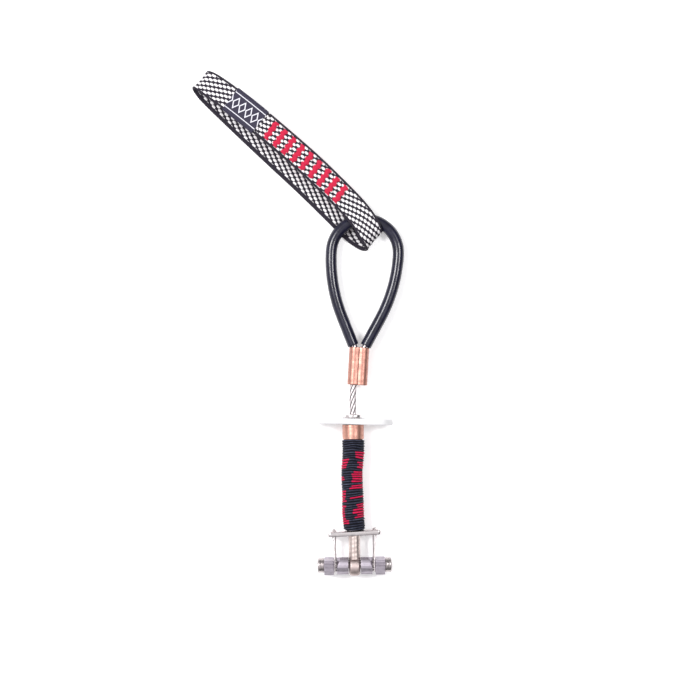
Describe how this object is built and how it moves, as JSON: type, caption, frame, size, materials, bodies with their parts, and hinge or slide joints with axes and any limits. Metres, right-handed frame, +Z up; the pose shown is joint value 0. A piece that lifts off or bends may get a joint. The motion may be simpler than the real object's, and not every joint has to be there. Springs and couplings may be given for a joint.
{
  "type": "spring loaded camming device",
  "caption": "Small climbing camming device with toothed lobes on an axle, a sprung trigger on a cable stem, a sleeved thumb loop and a sewn webbing sling.",
  "frame": {"origin": "middle of the axle", "axes": "+X along the axle, +Y along the stem from the axle towards the thumb loop, +Z up from the ground that the device lies on, which is also the direction of the crack's walls"},
  "size_m": [0.0971, 0.2326, 0.0137],
  "materials": {
    "cam_alloy": "dull anodised, finely grooved",
    "steel_dark": "turned",
    "steel_bright": "polished",
    "spring_steel": "dark drawn wire",
    "cable_steel": "stranded wire",
    "copper": "pressed copper",
    "loop_plastic": "glossy",
    "liner_plastic": "matte",
    "sheath_weave": "tubular weave, navy with red picks",
    "trigger_alloy": "white powder coat",
    "sling_weave": "flat weave, white on black",
    "label_weave": "fine woven tape",
    "tack_thread": "dense red stitching"
  },
  "bodies": {
    "stem": {"axle": "steel_dark", "axle_collar_left": "steel_dark", "axle_collar_right": "steel_dark", "axle_spacers": "steel_dark", "head_eye": "steel_dark", "stem_tube": "steel_bright", "stem_liner": "liner_plastic", "stem_cable": "cable_steel", "loop_swage": "copper", "loop_sleeve": "loop_plastic", "cam_spring_outer_left": "spring_steel", "cam_spring_inner_left": "spring_steel", "cam_spring_inner_right": "spring_steel", "cam_spring_outer_right": "spring_steel"},
    "trigger": {"wire_bridge": "steel_bright", "bridge_cable_stops": "copper", "trigger_cable_left": "cable_steel", "trigger_cable_right": "cable_steel", "stem_sheath": "sheath_weave", "trigger_ferrule": "copper", "trigger_plate": "trigger_alloy", "trigger_washer": "steel_bright"},
    "outer_left_cam": {"cam_outer_left": "cam_alloy"},
    "inner_left_cam": {"cam_inner_left": "cam_alloy"},
    "inner_right_cam": {"cam_inner_right": "cam_alloy"},
    "outer_right_cam": {"cam_outer_right": "cam_alloy"},
    "outer_left_wire": {"trigger_wire_outer_left": "steel_bright"},
    "inner_left_wire": {"trigger_wire_inner_left": "steel_bright"},
    "inner_right_wire": {"trigger_wire_inner_right": "steel_bright"},
    "outer_right_wire": {"trigger_wire_outer_right": "steel_bright"},
    "sling": {"sling_webbing": "sling_weave", "sling_label": "label_weave", "sling_bar_tacks": "tack_thread"}
  },
  "joints": [
    {"name": "trigger_slide", "type": "slide", "parent": "stem", "child": "trigger", "axis": [0, 1, 0], "range_m": [0, 0.00575], "stiffness_N_per_m": 2000},
    {"name": "outer_left_cam_turn", "type": "hinge", "parent": "stem", "child": "outer_left_cam", "pos_m": [-0.0117, 0, 0], "axis": [1, 0, 0], "range_deg": [-95.5, 0.5], "deforming": ["cam_spring_outer_left"]},
    {"name": "inner_left_cam_turn", "type": "hinge", "parent": "stem", "child": "inner_left_cam", "pos_m": [-0.0055, 0, 0], "axis": [1, 0, 0], "range_deg": [-0.5, 95.5], "deforming": ["cam_spring_inner_left"]},
    {"name": "inner_right_cam_turn", "type": "hinge", "parent": "stem", "child": "inner_right_cam", "pos_m": [0.0055, 0, 0], "axis": [1, 0, 0], "range_deg": [-0.5, 95.5], "deforming": ["cam_spring_inner_right"]},
    {"name": "outer_right_cam_turn", "type": "hinge", "parent": "stem", "child": "outer_right_cam", "pos_m": [0.0117, 0, 0], "axis": [1, 0, 0], "range_deg": [-95.5, 0.5], "deforming": ["cam_spring_outer_right"]},
    {"name": "outer_left_wire_turn", "type": "hinge", "parent": "outer_left_cam", "child": "outer_left_wire", "pos_m": [-0.01, -0.00288, 0.00263], "axis": [1, 0, 0], "range_deg": [-0.5, 95.5]},
    {"name": "inner_left_wire_turn", "type": "hinge", "parent": "inner_left_cam", "child": "inner_left_wire", "pos_m": [-0.0076, -0.00288, -0.00263], "axis": [1, 0, 0], "range_deg": [-95.5, 0.5]},
    {"name": "inner_right_wire_turn", "type": "hinge", "parent": "inner_right_cam", "child": "inner_right_wire", "pos_m": [0.0076, -0.00288, -0.00263], "axis": [1, 0, 0], "range_deg": [-95.5, 0.5]},
    {"name": "outer_right_wire_turn", "type": "hinge", "parent": "outer_right_cam", "child": "outer_right_wire", "pos_m": [0.01, -0.00288, 0.00263], "axis": [1, 0, 0], "range_deg": [-0.5, 95.5]},
    {"name": "sling_swing", "type": "hinge", "parent": "stem", "child": "sling", "pos_m": [0.00633, 0.1428, -0.00195], "axis": [0, 0, 1], "range_deg": [-90, 5]}
  ],
  "couplings": [
    {"joint": "outer_left_cam_turn", "follows": "trigger_slide", "rad_per_m": -288.3},
    {"joint": "inner_left_cam_turn", "follows": "trigger_slide", "rad_per_m": 288.3},
    {"joint": "inner_right_cam_turn", "follows": "trigger_slide", "rad_per_m": 288.3},
    {"joint": "outer_right_cam_turn", "follows": "trigger_slide", "rad_per_m": -288.3},
    {"joint": "outer_left_wire_turn", "follows": "trigger_slide", "rad_per_m": 288.3},
    {"joint": "inner_left_wire_turn", "follows": "trigger_slide", "rad_per_m": -288.3},
    {"joint": "inner_right_wire_turn", "follows": "trigger_slide", "rad_per_m": -288.3},
    {"joint": "outer_right_wire_turn", "follows": "trigger_slide", "rad_per_m": 288.3}
  ]
}
